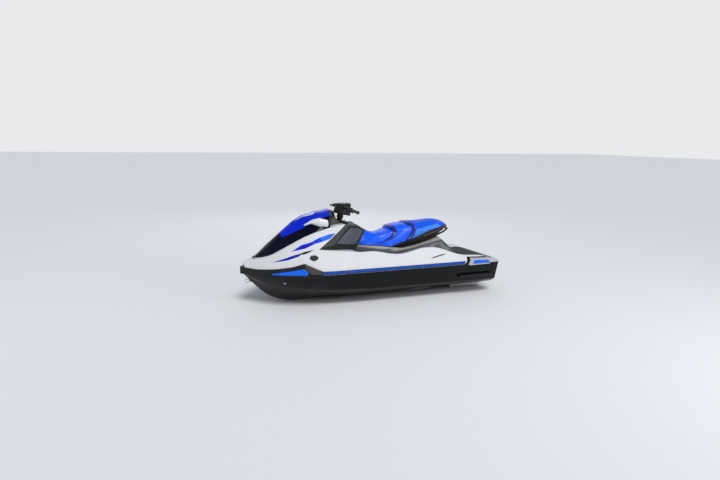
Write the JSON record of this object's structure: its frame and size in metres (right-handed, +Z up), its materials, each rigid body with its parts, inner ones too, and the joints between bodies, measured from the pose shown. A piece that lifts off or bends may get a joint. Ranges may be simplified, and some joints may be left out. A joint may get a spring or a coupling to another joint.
{
  "type": "personal watercraft",
  "caption": "Straddle-seat personal watercraft with a jet pump, steered by a handlebar, with a hinged storage hood, footwells and a stern boarding platform.",
  "frame": {"origin": "centre of the overall bounding box at the level of the keel", "axes": "+X towards the bow, +Y to port, +Z up; the keel and ride plate rest on z = 0"},
  "size_m": [3.13, 1.1304, 1.1],
  "materials": {
    "hull_black": "glossy",
    "deck_white": "glossy",
    "bumper_black": "satin",
    "bright_blue": "glossy",
    "silver_trim": "satin",
    "console_grey": "textured",
    "stainless": "polished",
    "black_plastic": "satin",
    "screen": "glossy",
    "seat_vinyl": "glossy vinyl",
    "pedestal_grey": "satin",
    "mat_foam": "ribbed foam",
    "engine_iron": "cast",
    "aluminium": "cast",
    "hood_blue": "glossy",
    "shroud_navy": "glossy",
    "mirror": "polished",
    "grip_rubber": "ribbed"
  },
  "bodies": {
    "craft": {"hull": "hull_black", "deck": "deck_white", "bow_bumper": "bumper_black", "rub_strips": "bright_blue", "stern_chevrons": "hull_black", "stern_caps": "silver_trim", "bumper_inserts": "bright_blue", "stern_inserts": "bright_blue", "console": "console_grey", "lid_hinge_pin": "stainless", "storage_bin": "black_plastic", "hood_hinge_pin": "stainless", "dash": "black_plastic", "gauge": "screen", "seat_front": "seat_vinyl", "seat_rear": "seat_vinyl", "pedestal": "pedestal_grey", "seat_base": "black_plastic", "grab_handle": "black_plastic", "footwell_mats": "mat_foam", "stern_mat": "mat_foam", "engine": "engine_iron", "pump_housing": "aluminium", "ride_plate": "aluminium", "intake_grate": "aluminium", "sponsons": "bumper_black", "fuel_cap": "black_plastic", "bow_eye": "stainless", "stern_eyes": "stainless", "drain_plugs": "black_plastic"},
    "hood": {"hood_top": "hood_blue", "hood_shroud": "shroud_navy", "mirror_shell_port": "deck_white", "mirror_shell_starboard": "deck_white", "mirror_glass": "mirror"},
    "glove_box_lid": {"glove_lid": "console_grey"},
    "steering": {"steering_column": "black_plastic", "handlebar": "black_plastic", "handlebar_pad": "black_plastic", "grips": "grip_rubber", "lever_housings": "black_plastic"},
    "nozzle": {"steering_nozzle": "aluminium"},
    "reverse": {"reverse_gate": "aluminium"},
    "propeller": {"impeller": "stainless", "drive_shaft": "stainless"}
  },
  "joints": [
    {"name": "hood_hinge", "type": "hinge", "parent": "craft", "child": "hood", "pos_m": [1.414, 0, 0.522], "axis": [0, 1, 0], "range_deg": [0, 50]},
    {"name": "glove_lid_hinge", "type": "hinge", "parent": "craft", "child": "glove_box_lid", "pos_m": [0.24692, 0, 0.86975], "axis": [0, 1, 0], "range_deg": [0, 70]},
    {"name": "handlebar_turn", "type": "hinge", "parent": "craft", "child": "steering", "pos_m": [0.398, 0, 0.915], "axis": [-0.2079, 0, 0.9781], "range_deg": [-24, 24]},
    {"name": "nozzle_turn", "type": "hinge", "parent": "craft", "child": "nozzle", "pos_m": [-1.36, 0, 0.13], "axis": [0, 0, 1], "range_deg": [-22, 22]},
    {"name": "reverse_gate_swing", "type": "hinge", "parent": "craft", "child": "reverse", "pos_m": [-1.352, 0, 0.175], "axis": [0, -1, 0], "range_deg": [0, 82]},
    {"name": "impeller_spin", "type": "hinge", "parent": "craft", "child": "propeller", "pos_m": [-1.123, 0, 0.13], "axis": [1, 0, 0], "continuous": true}
  ],
  "couplings": [
    {"joint": "nozzle_turn", "follows": "handlebar_turn", "ratio": -0.9}
  ]
}
